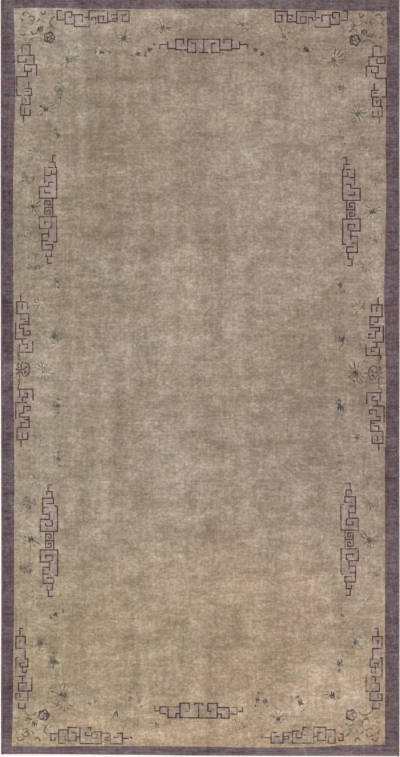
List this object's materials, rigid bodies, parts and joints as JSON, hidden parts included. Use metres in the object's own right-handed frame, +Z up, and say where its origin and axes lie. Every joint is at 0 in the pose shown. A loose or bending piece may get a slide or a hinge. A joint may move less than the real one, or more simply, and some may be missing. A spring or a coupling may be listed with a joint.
{
  "type": "chinese art deco rug",
  "caption": "Flat rectangular hand-knotted wool rug: a plum border, a sand field with small frets and flowers round its edge, and overcast side cords.",
  "frame": {"origin": "on the surface that the rug lies on, under the middle of the rug", "axes": "+X across the rug to the picture's right, +Y along the rug to the picture's top, +Z up out of the pile"},
  "size_m": [3.05, 5.8, 0.01],
  "materials": {
    "pile_wool": "low worn knotted wool pile, matt",
    "cord_wool": "wrapped wool yarn, matt"
  },
  "bodies": {
    "root": {"rug": "pile_wool", "selvedge_left": "cord_wool", "selvedge_right": "cord_wool"}
  },
  "joints": []
}
